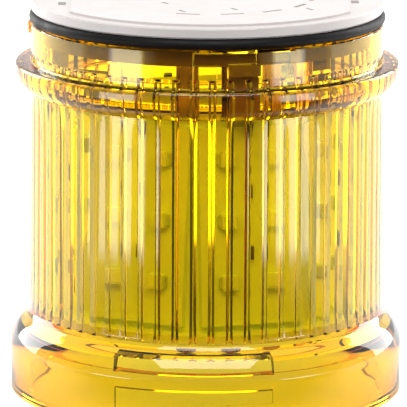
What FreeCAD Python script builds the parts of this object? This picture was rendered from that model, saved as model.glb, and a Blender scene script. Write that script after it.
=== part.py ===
import FreeCAD, Part

import math
import os

import Sketcher

# A light module of a stack light: a clear yellow lens with a skirt below and a neck above, and an
# insert that turns in it. +Z is up, the origin is on the axis at the skirt's lower edge, and angles
# round the axis are counted from -Y towards +X.

os.makedirs("parts", exist_ok=True)
doc = FreeCAD.newDocument("StackLightModule")

DIMENSIONS = {
    # lens, outside
    "skirt_radius": 36.5,
    "skirt_straight": 8.45,
    "shoulder_curve": 7.0,
    "barrel_radius": 32.83,
    "barrel_top_radius": 32.62,
    "barrel_foot": 16.06,
    "foot_curve": 2.63,
    "barrel_head": 56.56,
    "collar_radius": 35.57,
    "collar_curve": 4.24,
    "collar_widest": 60.6,
    "collar_top": 62.0,
    "collar_edge": 0.7,
    "neck_radius": 32.6,
    "lens_top": 69.06,
    # lens, inside
    "skirt_bore": 32.8,
    "groove_radius": 33.2,
    "groove_foot": 9.6,
    "groove_head": 11.5,
    "lens_bore": 30.9,
    "neck_bore": 30.7,
    "rib_base": 1.53,
    "rib_crest": 0.42,
    "rib_height": 0.56,
    "rib_root": 0.1,
    "rib_foot": 14.6,
    "rib_head": 63.6,
    # bayonet between modules
    "lug_radius": 33.2,
    "lug_foot": 66.6,
    "lug_head": 68.8,
    "lug_width": 33.4,
    "leg_width": 7.4,
    "slot_radius": 33.5,
    "slot_ledge": 4.45,
    "slot_head": 6.95,
    "slot_clearance": 1.0,
    "bayonet_turn": 14.0,
    "relief_radius": 34.5,
    "relief_foot": 9.6,
    "relief_head": 12.6,
    # bayonet between the lens and its insert
    "key_width": 10.4,
    "key_radius": 31.6,
    "key_foot": 64.3,
    "key_head": 66.3,
    "key_gap": 0.3,
    "key_side": 0.5,
    "insert_turn": 9.5,
    # cap
    "cap_radius": 32.5,
    "cap_edge": 0.3,
    "rim_foot": 71.25,
    "rim_head": 73.2,
    "plateau_radius": 30.1,
    "plateau_top": 73.6,
    "plateau_left": 25.0,
    "plateau_right": 26.0,
    "cap_hub": 30.9,
    "cap_bore": 28.6,
    "cap_ceiling": 71.4,
    "hub_foot": 69.3,
    "window_length": 3.2,
    "window_width": 1.4,
    "notch_length": 2.4,
    "notch_width": 0.7,
    "notch_depth": 0.8,
    # holder under the cap
    "holder_tube": 30.3,
    "holder_bore": 27.5,
    "holder_foot": 66.0,
    "holder_spigot": 28.55,
    "holder_head": 71.3,
    "arm_foot": 57.0,
    "arm_inner": 28.9,
    "arm_outer": 30.0,
    "foot_inner": 20.2,
    "foot_head": 58.2,
    # seal
    "seal_radius": 31.95,
    "seal_section": 1.0,
    "seal_level": 70.2,
    # contacts
    "contact_radius": 19.3,
    "contact_pitch": 24.0,
    "slit_length": 4.4,
    "slit_width": 0.9,
    "bar_width": 4.0,
    "bar_thickness": 0.5,
    "bar_foot": 22.6,
    "bar_head": 73.0,
    "blade_width": 3.6,
    "blade_thickness": 0.6,
    "blade_centre": 11.7,
    "blade_gap": 0.05,
    "blade_travel": 1.5,
    "head_width": 5.0,
    "head_depth": 2.0,
    "head_height": 1.0,
    "boss_radius": 0.55,
    "boss_height": 1.2,
    "spring_radius": 0.85,
    "spring_wire": 0.125,
    "spring_turns": 6.0,
    "cavity_width": 5.6,
    "cavity_depth": 2.6,
    "carrier_inner": 16.3,
    "carrier_outer": 22.3,
    "carrier_head": 24.0,
    "carrier_margin": 11.5,
    # base of the insert
    "base_radius": 30.0,
    "base_foot": 14.0,
    "base_head": 16.4,
    "spigot_outer": 24.2,
    "spigot_inner": 22.6,
    "spigot_head": 19.0,
    "post_radius": 2.2,
    "post_head": 19.0,
    "screw_radius": 1.0,
    "screw_gap": 0.05,
    "screw_foot": 15.2,
    "screw_head_radius": 1.9,
    "screw_head_height": 1.2,
    # mast and its boards
    "mast_foot_radius": 28.2,
    "mast_head_radius": 25.9,
    "mast_head": 54.5,
    "mast_wall": 1.7,
    "lid_thickness": 1.5,
    "lid_slot_gap": 0.4,
    "pad_outer": 23.4,
    "board_width": 18.4,
    "board_height": 36.4,
    "board_thickness": 1.0,
    "board_foot": 17.6,
    "led_width": 3.5,
    "led_height": 2.8,
    "led_depth": 1.4,
    "led_pitch": 11.3,
    "led_first": 6.6,
    "led_column": 4.1,
    "chip_width": 1.6,
    "chip_height": 3.2,
    "chip_depth": 0.6,
    "chip_rise": 5.0,
    # driver board
    "driver_length": 25.0,
    "driver_width": 26.0,
    "driver_thickness": 1.6,
    "driver_near": 8.0,
    "capacitor_radius": 4.0,
    "capacitor_height": 11.5,
    "rectifier_side": 6.4,
    "rectifier_height": 2.6,
    "inductor_radius": 3.4,
    "inductor_height": 4.2,
    "regulator_length": 4.9,
    "regulator_width": 3.9,
    "regulator_height": 1.6,
}

RIBS = 60
RIB_START = 1.7
LUGS = 3
LUG_START = -4.4
SLOT_START = -28.6
KEY_START = 7.2
CONTACTS = 6
CONTACT_START = -10.5
NOTCH_TURN = 30.0
NOTCH_PLACES = [(10.6, -47.0), (16.5, -16.0), (14.3, 20.0), (22.8, 55.0)]
WINDOW_PLACES = {"left": (-26.7, -6.0), "right": (27.2, -2.5)}
BOARDS = 8
BOARD_START = -27.5
LED_ROWS = 3
DRIVER_DIRECTION = -130.5
MARGIN = 1.0  # how far a cutting tool runs past the face that it opens

sheet = doc.addObject("Spreadsheet::Sheet", "Sizes")
for row, (alias, number) in enumerate(DIMENSIONS.items(), start=1):
    sheet.set(f"A{row}", alias.replace("_", " "))
    sheet.set(f"B{row}", str(number))
    sheet.setAlias(f"B{row}", alias)
doc.recompute()


class Size:
    """A length or an angle: its value, and the same value as an expression in the sheet's cells."""

    def __init__(self, value, text):
        self.value = value
        self.text = text

    def combine(self, other, sign, value):
        return Size(value, f"({self.text} {sign} {other.text})")

    def __add__(self, other):
        other = as_size(other)
        return self.combine(other, "+", self.value + other.value)

    def __sub__(self, other):
        other = as_size(other)
        return self.combine(other, "-", self.value - other.value)

    def __mul__(self, other):
        other = as_size(other)
        return self.combine(other, "*", self.value * other.value)

    def __truediv__(self, other):
        other = as_size(other)
        return self.combine(other, "/", self.value / other.value)

    def __neg__(self):
        return Size(-self.value, f"(-{self.text})")


def as_size(number):
    if isinstance(number, Size):
        return number
    return Size(float(number), f"({number:g})")


def dim(alias):
    return Size(DIMENSIONS[alias], f"Sizes.{alias}")


def bind(thing, **sizes):
    """Drives each named property of a document object from the sheet."""
    for name, size in sizes.items():
        thing.setExpression(name, as_size(size).text)


def at(x=0.0, y=0.0, z=0.0, turn=0.0, tilt=0.0):
    """A placement: a shift, then a tilt about X, then a turn about the module's axis."""
    about_axis = FreeCAD.Rotation(FreeCAD.Vector(0, 0, 1), turn)
    lean = FreeCAD.Rotation(FreeCAD.Vector(1, 0, 0), tilt)
    shift = FreeCAD.Placement(FreeCAD.Vector(x, y, z), lean)
    return FreeCAD.Placement(FreeCAD.Vector(0, 0, 0), about_axis).multiply(shift)


def cylinder(name, radius, height, placement, angle=360.0):
    solid = doc.addObject("Part::Cylinder", name)
    solid.Placement = placement
    bind(solid, Radius=radius, Height=height, Angle=angle)
    return solid


def box(name, length, width, height, x, y, z, turn=0.0):
    """A box centred on x and y in a frame turned about the axis, standing on z."""
    length = as_size(length)
    width = as_size(width)
    solid = doc.addObject("Part::Box", name)
    solid.Placement = at(x - length.value / 2, y - width.value / 2, z, turn)
    bind(solid, Length=length, Width=width, Height=height)
    return solid


def fuse(name, pieces):
    whole = doc.addObject("Part::MultiFuse", name)
    whole.Shapes = pieces
    return whole


def cut(name, base, tool):
    whole = doc.addObject("Part::Cut", name)
    whole.Base = base
    whole.Tool = tool
    return whole


def wedge(name, inner, outer, low, high, start, width):
    """A piece of a ring between two radii and two levels, from start through width degrees."""
    height = high - low
    placement = at(z=low.value, turn=start - 90.0)
    sector = cylinder(name + "_outer", outer, height, placement, width)
    core_place = at(z=low.value - MARGIN)
    core = cylinder(name + "_inner", inner, height + 2 * MARGIN, core_place)
    return cut(name, sector, core)


def wedges(name, inner, outer, low, high, start, width):
    """One wedge for each bayonet lug, equally spaced."""
    step = 360.0 / LUGS
    return [
        wedge(f"{name}_{k + 1}", inner, outer, low, high, start + k * step, width)
        for k in range(LUGS)
    ]


def body_plane(body, role):
    return next(f for f in body.Origin.OriginFeatures if f.Role == role)


def outline(body, name, corners, plane="XZ_Plane"):
    """A closed sketch in one of a body's planes. Each corner is (across, up) or, where an arc
    starts, (across, up, arc radius, side), with side 1 for a centre left of the way round."""
    sketch = body.newObject("Sketcher::SketchObject", name)
    sketch.AttachmentSupport = [(body_plane(body, plane), "")]
    sketch.MapMode = "FlatFace"
    count = len(corners)
    points = [FreeCAD.Vector(as_size(c[0]).value, as_size(c[1]).value, 0) for c in corners]
    starts = []
    for index, corner in enumerate(corners):
        first = points[index]
        second = points[(index + 1) % count]
        if len(corner) == 2:
            sketch.addGeometry(Part.LineSegment(first, second), False)
            starts.append((1, 2))
            continue
        radius, side = as_size(corner[2]).value, corner[3]
        chord = second - first
        reach = math.sqrt(radius**2 - (chord.Length / 2) ** 2)
        left = FreeCAD.Vector(-chord.y, chord.x, 0).normalize()
        centre = (first + second) * 0.5 + left * (reach * side)
        angle_1 = math.atan2(first.y - centre.y, first.x - centre.x)
        angle_2 = math.atan2(second.y - centre.y, second.x - centre.x)
        circle = Part.Circle(centre, FreeCAD.Vector(0, 0, 1), radius)
        if side > 0:
            sketch.addGeometry(Part.ArcOfCircle(circle, angle_1, angle_2), False)
            starts.append((1, 2))
        else:
            sketch.addGeometry(Part.ArcOfCircle(circle, angle_2, angle_1), False)
            starts.append((2, 1))
    for index in range(count):
        after = (index + 1) % count
        sketch.addConstraint(
            Sketcher.Constraint("Coincident", index, starts[index][1], after, starts[after][0])
        )
    for index, corner in enumerate(corners):
        hold(sketch, "DistanceX", index, starts[index][0], corner[0], f"across_{index}")
        hold(sketch, "DistanceY", index, starts[index][0], corner[1], f"up_{index}")
        if len(corner) > 2:
            radius = as_size(corner[2])
            number = sketch.addConstraint(Sketcher.Constraint("Radius", index, radius.value))
            sketch.renameConstraint(number, f"bend_{index}")
            sketch.setExpression(f"Constraints.bend_{index}", radius.text)
    return sketch


def hold(sketch, kind, edge, end, size, name):
    """Sets one coordinate of an edge's end from the sheet."""
    size = as_size(size)
    if size.value == 0:
        axis = -2 if kind == "DistanceX" else -1
        sketch.addConstraint(Sketcher.Constraint("PointOnObject", edge, end, axis))
        return
    number = sketch.addConstraint(Sketcher.Constraint(kind, edge, end, size.value))
    sketch.renameConstraint(number, name)
    sketch.setExpression(f"Constraints.{name}", size.text)


def revolved(name, corners):
    """A body with one full turn of an outline about Z."""
    body = doc.addObject("PartDesign::Body", name)
    sketch = outline(body, name + "_outline", corners)
    turned = body.newObject("PartDesign::Revolution", name + "_turned")
    turned.Profile = sketch
    turned.ReferenceAxis = (sketch, ["V_Axis"])
    turned.Angle = 360.0
    sketch.Visibility = False
    body.Tip = turned
    return body


def lens_shell():
    """The lens as turned, with its ribs: a skirt, a curved shoulder, a barrel, a collar, a neck."""
    slope = math.sin(math.radians(45.0))
    fall = dim("shoulder_curve") * (1.0 - slope)
    rise = dim("shoulder_curve") * slope
    shoulder_radius = dim("skirt_radius") - fall
    shoulder_level = dim("skirt_straight") + rise
    foot_bend = dim("foot_curve")
    foot_level = dim("barrel_foot") - foot_bend * slope
    foot_radius = dim("barrel_radius") + foot_bend * (1.0 - slope)
    edge = dim("collar_edge")
    bevel = 0.3
    inner_foot = dim("groove_head") + (dim("groove_radius") - dim("lens_bore"))
    body = revolved(
        "lens_shell",
        [
            (dim("skirt_bore"), 0.0),
            (dim("skirt_radius"), 0.0),
            (dim("skirt_radius"), dim("skirt_straight"), dim("shoulder_curve"), 1),
            (shoulder_radius, shoulder_level),
            (foot_radius, foot_level, foot_bend, -1),
            (dim("barrel_radius"), dim("barrel_foot")),
            (dim("barrel_top_radius"), dim("barrel_head"), dim("collar_curve"), 1),
            (dim("collar_radius"), dim("collar_widest")),
            (dim("collar_radius"), dim("collar_top") - edge, edge, 1),
            (dim("collar_radius") - edge, dim("collar_top")),
            (dim("neck_radius"), dim("collar_top")),
            (dim("neck_radius"), dim("lens_top") - bevel),
            (dim("neck_radius") - bevel, dim("lens_top")),
            (dim("neck_bore"), dim("lens_top")),
            (dim("neck_bore"), dim("rib_head")),
            (dim("lens_bore"), dim("rib_head") - 1.0),
            (dim("lens_bore"), inner_foot),
            (dim("groove_radius"), dim("groove_head")),
            (dim("groove_radius"), dim("groove_foot")),
            (dim("skirt_bore"), dim("groove_foot")),
        ],
    )
    root = dim("lens_bore") + dim("rib_root")
    crest = dim("lens_bore") - dim("rib_height")
    half_base = dim("rib_base") / 2
    half_crest = dim("rib_crest") / 2
    section = [(root, -half_base), (root, half_base), (crest, half_crest), (crest, -half_crest)]
    sketch = outline(body, "rib_section", section, "XY_Plane")
    sketch.AttachmentOffset = at(turn=RIB_START - 90.0)
    sketch.setExpression("AttachmentOffset.Base.z", dim("rib_foot").text)
    rib = body.newObject("PartDesign::Pad", "rib")
    rib.Profile = sketch
    rib.setExpression("Length", (dim("rib_head") - dim("rib_foot")).text)
    ribs = body.newObject("PartDesign::PolarPattern", "ribs")
    ribs.Originals = [rib]
    ribs.Axis = (sketch, ["N_Axis"])
    ribs.Angle = 360.0
    ribs.Occurrences = RIBS
    body.Tip = ribs
    return body


def lens_body():
    """The lens with the lugs and slots of both bayonets."""
    into_wall = dim("neck_radius") - 0.5
    neck = ("lug_radius", "lug_width", "leg_width")
    radius, width, leg = (dim(alias) for alias in neck)
    bars = wedges("lug_bar", into_wall, radius, dim("lug_foot"), dim("lug_head"), LUG_START, width)
    level = dim("collar_top") - 0.5
    legs = wedges("lug_leg", into_wall, radius, level, dim("lug_foot"), LUG_START, leg)
    whole = fuse("lens_with_lugs", [lens_shell()] + bars + legs)

    bore = dim("skirt_bore") - 0.5
    below = Size(-MARGIN, f"(-{MARGIN})")
    entry = width + dim("slot_clearance") * 2
    full = entry + dim("bayonet_turn")
    head = dim("slot_head")
    slot = dim("slot_radius")
    entries = wedges("slot_entry", bore, slot, below, head, SLOT_START, entry)
    locks = wedges("slot_lock", bore, slot, dim("slot_ledge"), head, SLOT_START, full)
    relief = dim("relief_radius")
    reliefs = wedges(
        "relief", bore, relief, dim("relief_foot"), dim("relief_head"), SLOT_START, full
    )

    gap = dim("key_gap")
    side = dim("key_side")
    inner = dim("neck_bore") - 0.5
    outer = dim("key_radius") + gap
    low = dim("key_foot") - gap
    high = dim("key_head") + gap
    key_entry = dim("key_width") + side * 2
    start = KEY_START - side.value
    open_start = start + DIMENSIONS["insert_turn"]
    swept = key_entry + dim("insert_turn")
    key_slots = wedges("key_slot", inner, outer, low, high, start, swept)
    over = dim("lens_top") + MARGIN
    key_mouths = wedges("key_mouth", inner, outer, high - gap, over, open_start, key_entry)
    return cut("lens_body", whole, fuse("lens_cuts", entries + locks + reliefs + key_slots + key_mouths))


def contact_headings():
    return [CONTACT_START + k * DIMENSIONS["contact_pitch"] for k in range(CONTACTS)]


def contact_cap():
    """The light grey cap: a hub inside the seal, a rim over it and a plateau with contact slits."""
    edge = dim("cap_edge")
    turned = revolved(
        "cap_turned",
        [
            (0.0, dim("cap_ceiling")),
            (dim("cap_bore"), dim("cap_ceiling")),
            (dim("cap_bore"), dim("hub_foot")),
            (dim("cap_hub"), dim("hub_foot")),
            (dim("cap_hub"), dim("rim_foot")),
            (dim("cap_radius") - edge, dim("rim_foot")),
            (dim("cap_radius"), dim("rim_foot") + edge),
            (dim("cap_radius"), dim("rim_head") - edge, edge, 1),
            (dim("cap_radius") - edge, dim("rim_head")),
            (dim("plateau_radius"), dim("rim_head")),
            (dim("plateau_radius"), dim("plateau_top")),
            (0.0, dim("plateau_top")),
        ],
    )

    rim_head = DIMENSIONS["rim_head"]
    strip = 10.0
    across = dim("cap_radius") * 2
    left = -DIMENSIONS["plateau_left"] - strip / 2
    right = DIMENSIONS["plateau_right"] + strip / 2
    tools = [
        box("plateau_flat_left", strip, across, 1.0, left, 0, rim_head),
        box("plateau_flat_right", strip, across, 1.0, right, 0, rim_head),
    ]
    low = DIMENSIONS["cap_ceiling"] - MARGIN
    deep = 4.0
    for k, heading in enumerate(contact_headings()):
        radius = -DIMENSIONS["contact_radius"]
        slit = (dim("slit_length"), dim("slit_width"), deep)
        tools.append(box(f"cap_slit_{k + 1}", *slit, 0, radius, low, heading))
    window = (dim("window_width"), dim("window_length"), deep)
    for side, (x, y) in WINDOW_PLACES.items():
        tools.append(box(f"cap_window_{side}", *window, x, y, low))
    notch_size = (dim("notch_width"), dim("notch_length"), dim("notch_depth") + MARGIN)
    notch_level = DIMENSIONS["plateau_top"] - DIMENSIONS["notch_depth"]
    for k, (radius, heading) in enumerate(NOTCH_PLACES):
        x = radius * math.sin(math.radians(heading))
        y = -radius * math.cos(math.radians(heading))
        notch = box(f"cap_notch_{k + 1}", *notch_size, 0, 0, notch_level)
        turn = FreeCAD.Rotation(FreeCAD.Vector(0, 0, 1), NOTCH_TURN)
        move = FreeCAD.Placement(FreeCAD.Vector(x, y, 0), turn)
        notch.Placement = move.multiply(notch.Placement)
        tools.append(notch)
    return cut("contact_cap", turned, fuse("cap_cuts", tools))


def cap_holder():
    """The dark ring that carries the cap: a spigot inside it, and three arms with bayonet keys
    whose feet rest on the mast's pads."""
    turned = revolved(
        "holder_turned",
        [
            (dim("holder_bore"), dim("holder_foot")),
            (dim("holder_tube"), dim("holder_foot")),
            (dim("holder_tube"), dim("hub_foot")),
            (dim("holder_spigot"), dim("hub_foot")),
            (dim("holder_spigot"), dim("holder_head")),
            (dim("holder_bore"), dim("holder_head")),
        ],
    )
    width = dim("key_width")
    outer = dim("arm_outer")
    foot = dim("arm_foot")
    arm_head = dim("holder_foot") + 0.5
    arms = wedges("holder_arm", dim("arm_inner"), outer, foot, arm_head, KEY_START, width)
    key_levels = (dim("key_foot"), dim("key_head"))
    keys = wedges("holder_key", outer - 0.5, dim("key_radius"), *key_levels, KEY_START, width)
    inner = dim("foot_inner")
    feet = wedges("holder_foot", inner, outer, foot, dim("foot_head"), KEY_START, width)
    return fuse("cap_holder", [turned] + arms + keys + feet)


def seal_ring():
    ring = doc.addObject("Part::Torus", "seal_ring")
    bind(ring, Radius1=dim("seal_radius"), Radius2=dim("seal_section"))
    ring.Placement = at(z=DIMENSIONS["seal_level"])
    return ring


def driver_spot(along, across, z):
    """A point of the driver board: along its length from the axis, and across it."""
    return at(across, -along, z, DRIVER_DIRECTION)


SCREW_SPOTS = [(-5.0, 0.0), (14.2, 9.6), (14.2, -9.6)]


def insert_base():
    """The floor of the insert, with a ring that centres the mast and posts for the driver board."""
    plate = revolved(
        "base_plate",
        [
            (0.0, dim("base_foot")),
            (dim("base_radius") - 0.4, dim("base_foot")),
            (dim("base_radius"), dim("base_foot") + 0.4),
            (dim("base_radius"), dim("base_head")),
            (dim("spigot_outer"), dim("base_head")),
            (dim("spigot_outer"), dim("spigot_head")),
            (dim("spigot_inner"), dim("spigot_head")),
            (dim("spigot_inner"), dim("base_head")),
            (0.0, dim("base_head")),
        ],
    )
    post_foot = DIMENSIONS["base_head"] - 0.5
    post_height = dim("post_head") - post_foot
    posts = [
        cylinder(f"post_{k + 1}", dim("post_radius"), post_height, driver_spot(*spot, post_foot))
        for k, spot in enumerate(SCREW_SPOTS)
    ]
    hole = dim("screw_radius") + dim("screw_gap")
    depth = 5.0
    tools = [
        cylinder(f"post_hole_{k + 1}", hole, depth, driver_spot(*spot, DIMENSIONS["screw_foot"] - 0.2))
        for k, spot in enumerate(SCREW_SPOTS)
    ]
    gap = dim("blade_gap") * 2
    guide = (dim("blade_width") + gap, dim("blade_thickness") + gap, 5.0)
    low = DIMENSIONS["base_foot"] - MARGIN
    for k, heading in enumerate(contact_headings()):
        spot = (0, -DIMENSIONS["contact_radius"], low, heading)
        tools.append(box(f"blade_guide_{k + 1}", *guide, *spot))
    return cut("insert_base", fuse("base_with_posts", [plate] + posts), fuse("base_cuts", tools))


def contact_carrier():
    """The block that holds the blades' springs and the lower ends of the bus bars."""
    margin = DIMENSIONS["carrier_margin"]
    span = dim("contact_pitch") * (CONTACTS - 1) + dim("carrier_margin") * 2
    low = dim("base_head")
    high = dim("carrier_head")
    start = CONTACT_START - margin
    block = wedge(
        "carrier_block", dim("carrier_inner"), dim("carrier_outer"), low, high, start, span
    )
    radius = -DIMENSIONS["contact_radius"]
    tools = []
    for k, heading in enumerate(contact_headings()):
        cavity = (dim("cavity_width"), dim("cavity_depth"), dim("bar_foot") - low + MARGIN)
        tools.append(box(f"cavity_{k + 1}", *cavity, 0, radius, low.value - MARGIN, heading))
        bar = (dim("bar_width") + 0.1, dim("bar_thickness") + 0.1, 4.0)
        tools.append(box(f"bar_slot_{k + 1}", *bar, 0, radius, DIMENSIONS["bar_foot"] - 0.5, heading))
    return cut("contact_carrier", block, fuse("carrier_cuts", tools))


def bus_bar(number, heading):
    height = dim("bar_head") - dim("bar_foot")
    spot = (0, -DIMENSIONS["contact_radius"], DIMENSIONS["bar_foot"], heading)
    return box(f"bus_bar_{number}", dim("bar_width"), dim("bar_thickness"), height, *spot)


def contact_blade(number, heading):
    """A sliding contact: a blade with a round tip, a head that stops it and a boss for its spring."""
    name = f"contact_blade_{number}"
    radius = -DIMENSIONS["contact_radius"]
    thickness = dim("blade_thickness")
    stop = dim("base_head")
    plate = box(
        name + "_plate",
        dim("blade_width"),
        thickness,
        stop - dim("blade_centre"),
        0,
        radius,
        DIMENSIONS["blade_centre"],
        heading,
    )
    side = at(0, radius + DIMENSIONS["blade_thickness"] / 2, DIMENSIONS["blade_centre"], heading, 90.0)
    tip = cylinder(name + "_tip", dim("blade_width") / 2, thickness, side)
    head = (dim("head_width"), dim("head_depth"), dim("head_height"))
    stopper = box(name + "_head", *head, 0, radius, stop.value, heading)
    boss_foot = at(0, radius, stop.value + DIMENSIONS["head_height"] - 0.2, heading)
    boss = cylinder(name + "_boss", dim("boss_radius"), dim("boss_height") + 0.2, boss_foot)
    return fuse(name, [plate, tip, stopper, boss])


def contact_spring(number, heading):
    """A coil spring between a blade's head and the foot of its bus bar."""
    name = f"contact_spring_{number}"
    wire = dim("spring_wire")
    low = dim("base_head") + dim("head_height")
    free = dim("bar_foot") - low - 2 * wire.value - 0.1
    helix = doc.addObject("Part::Helix", name + "_path")
    bind(helix, Radius=dim("spring_radius"), Height=free, Pitch=free / dim("spring_turns"))
    section = doc.addObject("Part::Circle", name + "_wire")
    bind(section, Radius=wire)
    section.Placement = FreeCAD.Placement(
        FreeCAD.Vector(DIMENSIONS["spring_radius"], 0, 0),
        FreeCAD.Rotation(FreeCAD.Vector(1, 0, 0), 90.0),
    )
    coil = doc.addObject("Part::Sweep", name)
    coil.Sections = [section]
    coil.Spine = (helix, [])
    coil.Solid = True
    coil.Frenet = True
    lift = low.value + wire.value + 0.05
    coil.Placement = at(0, -DIMENSIONS["contact_radius"], lift, heading)
    return coil


def octagon(name, radius, z):
    ring = doc.addObject("Part::RegularPolygon", name)
    ring.Polygon = BOARDS
    bind(ring, Circumradius=radius)
    corner = BOARD_START - 180.0 / BOARDS - 90.0
    ring.Placement = at(z=z, turn=corner)
    return ring


def tower(name, foot_radius, head_radius, low, high):
    """A solid tower with eight leaning faces."""
    solid = doc.addObject("Part::Loft", name)
    foot = octagon(name + "_foot", foot_radius, low)
    head = octagon(name + "_head", head_radius, high)
    solid.Sections = [foot, head]
    solid.Solid = True
    solid.Ruled = True
    return solid


def mast_radius(z):
    """The distance from the axis to a corner of the mast at a level."""
    low = DIMENSIONS["base_head"]
    share = (z - low) / (DIMENSIONS["mast_head"] - low)
    foot = DIMENSIONS["mast_foot_radius"]
    return foot + (DIMENSIONS["mast_head_radius"] - foot) * share


def led_mast():
    """The eight-sided hollow tower that carries the boards, with a lid and three pads on it."""
    low = DIMENSIONS["base_head"]
    high = DIMENSIONS["mast_head"]
    wall = dim("mast_wall")
    foot = dim("mast_foot_radius")
    head = dim("mast_head_radius")
    outside = tower("mast_outside", foot, head, low, high)
    lean = (foot - head) / (dim("mast_head") - dim("base_head"))
    lid = dim("lid_thickness")
    inner_foot = foot - wall + lean * MARGIN
    inner_head = head - wall + lean * lid
    inside = tower("mast_inside", inner_foot, inner_head, low - MARGIN, high - lid.value)
    width = dim("bar_width") + dim("lid_slot_gap")
    depth = dim("bar_thickness") + dim("lid_slot_gap")
    tools = [inside]
    for k, heading in enumerate(contact_headings()):
        slot = (width, depth, lid + 2 * MARGIN)
        spot = (0, -DIMENSIONS["contact_radius"], high - lid.value - MARGIN, heading)
        tools.append(box(f"lid_slot_{k + 1}", *slot, *spot))
    inner = dim("foot_inner")
    below = dim("mast_head") - 0.5
    outer = dim("pad_outer")
    pads = wedges("mast_pad", inner, outer, below, dim("arm_foot"), KEY_START, dim("key_width"))
    hollow = cut("mast_hollow", outside, fuse("mast_cuts", tools))
    return fuse("led_mast", [hollow] + pads)


def board_place(number, x, out, up):
    """A place on a mast face: across it, out from it and up along it, from the board's foot."""
    heading = BOARD_START + number * 360.0 / BOARDS
    flat = math.cos(math.pi / BOARDS)
    foot = DIMENSIONS["board_foot"]
    drop = (mast_radius(foot) - mast_radius(foot + 1.0)) * flat
    lean = math.degrees(math.atan(drop))
    base = at(0, -mast_radius(foot) * flat - 0.02, foot, heading, -lean)
    return base.multiply(FreeCAD.Placement(FreeCAD.Vector(x, -out, up), FreeCAD.Rotation()))


def face_box(name, number, width, depth, height, x, out, up):
    """A box on a mast face, with its middle at x and its back at out."""
    solid = doc.addObject("Part::Box", name)
    bind(solid, Length=width, Width=depth, Height=height)
    left = x - as_size(width).value / 2
    solid.Placement = board_place(number, left, out + as_size(depth).value, up)
    return solid


def led_board(number):
    sizes = (dim("board_width"), dim("board_thickness"), dim("board_height"))
    return face_box(f"led_board_{number + 1}", number, *sizes, 0.0, 0.0, 0.0)


def led_group(number):
    """The LEDs of one board, in two columns."""
    out = DIMENSIONS["board_thickness"]
    sizes = (dim("led_width"), dim("led_depth"), dim("led_height"))
    pieces = []
    for row in range(LED_ROWS):
        up = DIMENSIONS["led_first"] + row * DIMENSIONS["led_pitch"]
        for side in (-1, 1):
            x = side * DIMENSIONS["led_column"]
            name = f"led_{number + 1}_{row + 1}_{'left' if side < 0 else 'right'}"
            pieces.append(face_box(name, number, *sizes, x, out, up))
    return fuse(f"led_group_{number + 1}", pieces)


def resistor_group(number):
    """The series resistors of one board, one above each pair of LEDs."""
    out = DIMENSIONS["board_thickness"]
    sizes = (dim("chip_width"), dim("chip_depth"), dim("chip_height"))
    pieces = []
    for row in range(LED_ROWS):
        up = DIMENSIONS["led_first"] + row * DIMENSIONS["led_pitch"] + DIMENSIONS["chip_rise"]
        name = f"resistor_{number + 1}_{row + 1}"
        pieces.append(face_box(name, number, *sizes, 0.0, out, up))
    return fuse(f"resistor_group_{number + 1}", pieces)


def driver_board():
    """The supply board, which lies on the posts beside the contact carrier."""
    length = dim("driver_length")
    width = dim("driver_width")
    z = DIMENSIONS["post_head"]
    slab = doc.addObject("Part::Box", "driver_slab")
    bind(slab, Length=width, Width=length, Height=dim("driver_thickness"))
    near = DIMENSIONS["driver_near"]
    slab.Placement = at(-width.value / 2, near - length.value, z, DRIVER_DIRECTION)
    hole = dim("screw_radius") + dim("screw_gap")
    holes = [
        cylinder(f"driver_hole_{k + 1}", hole, 4.0, driver_spot(*spot, z - MARGIN))
        for k, spot in enumerate(SCREW_SPOTS)
    ]
    return cut("driver_board", slab, fuse("driver_holes", holes))


def driver_level():
    return DIMENSIONS["post_head"] + DIMENSIONS["driver_thickness"]


def driver_screws():
    """Three screws that hold the driver board to the posts."""
    pieces = []
    top = driver_level()
    for k, spot in enumerate(SCREW_SPOTS):
        shank = top - dim("screw_foot").value
        foot = driver_spot(*spot, DIMENSIONS["screw_foot"])
        stem = cylinder(f"screw_stem_{k + 1}", dim("screw_radius"), shank, foot)
        cap = cylinder(
            f"screw_cap_{k + 1}",
            dim("screw_head_radius"),
            dim("screw_head_height"),
            driver_spot(*spot, top),
        )
        pieces.append(fuse(f"screw_{k + 1}", [stem, cap]))
    return fuse("driver_screws", pieces)


def capacitor():
    place = driver_spot(5.5, -6.5, driver_level())
    return cylinder("capacitor", dim("capacitor_radius"), dim("capacitor_height"), place)


def inductor():
    place = driver_spot(-3.5, 7.6, driver_level())
    return cylinder("inductor", dim("inductor_radius"), dim("inductor_height"), place)


def rectifier():
    side = dim("rectifier_side")
    return box(
        "rectifier", side, side, dim("rectifier_height"), 4.2, -6.4, driver_level(), DRIVER_DIRECTION
    )


def regulator():
    sizes = (dim("regulator_length"), dim("regulator_width"), dim("regulator_height"))
    return box("regulator", *sizes, -1.0, -14.2, driver_level(), DRIVER_DIRECTION)


def build():
    parts = [lens_body(), contact_cap(), cap_holder(), seal_ring()]
    parts += [led_mast(), insert_base(), contact_carrier()]
    for k in range(BOARDS):
        parts += [led_board(k), led_group(k), resistor_group(k)]
    for k, heading in enumerate(contact_headings()):
        parts += [bus_bar(k + 1, heading), contact_blade(k + 1, heading), contact_spring(k + 1, heading)]
    parts += [driver_board(), driver_screws(), capacitor(), inductor(), rectifier(), regulator()]
    for piece in parts:
        piece.Label = piece.Name
    return parts


parts = build()
doc.recompute()

for thing in doc.Objects:
    if "Invalid" in thing.State or "Error" in thing.State:
        raise RuntimeError(f"{thing.Name} failed: {thing.State}")
for piece in parts:
    if piece.Shape.isNull() or not piece.Shape.isValid():
        raise RuntimeError(f"{piece.Label} has a null or invalid shape")

for piece in parts:
    piece.Shape.exportStep(os.path.join("parts", piece.Label + ".step"))
    solids = len(piece.Shape.Solids)
    print(f"{piece.Label}: {solids} solids, {piece.Shape.Volume:.2f} mm3")
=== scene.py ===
import math

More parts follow.
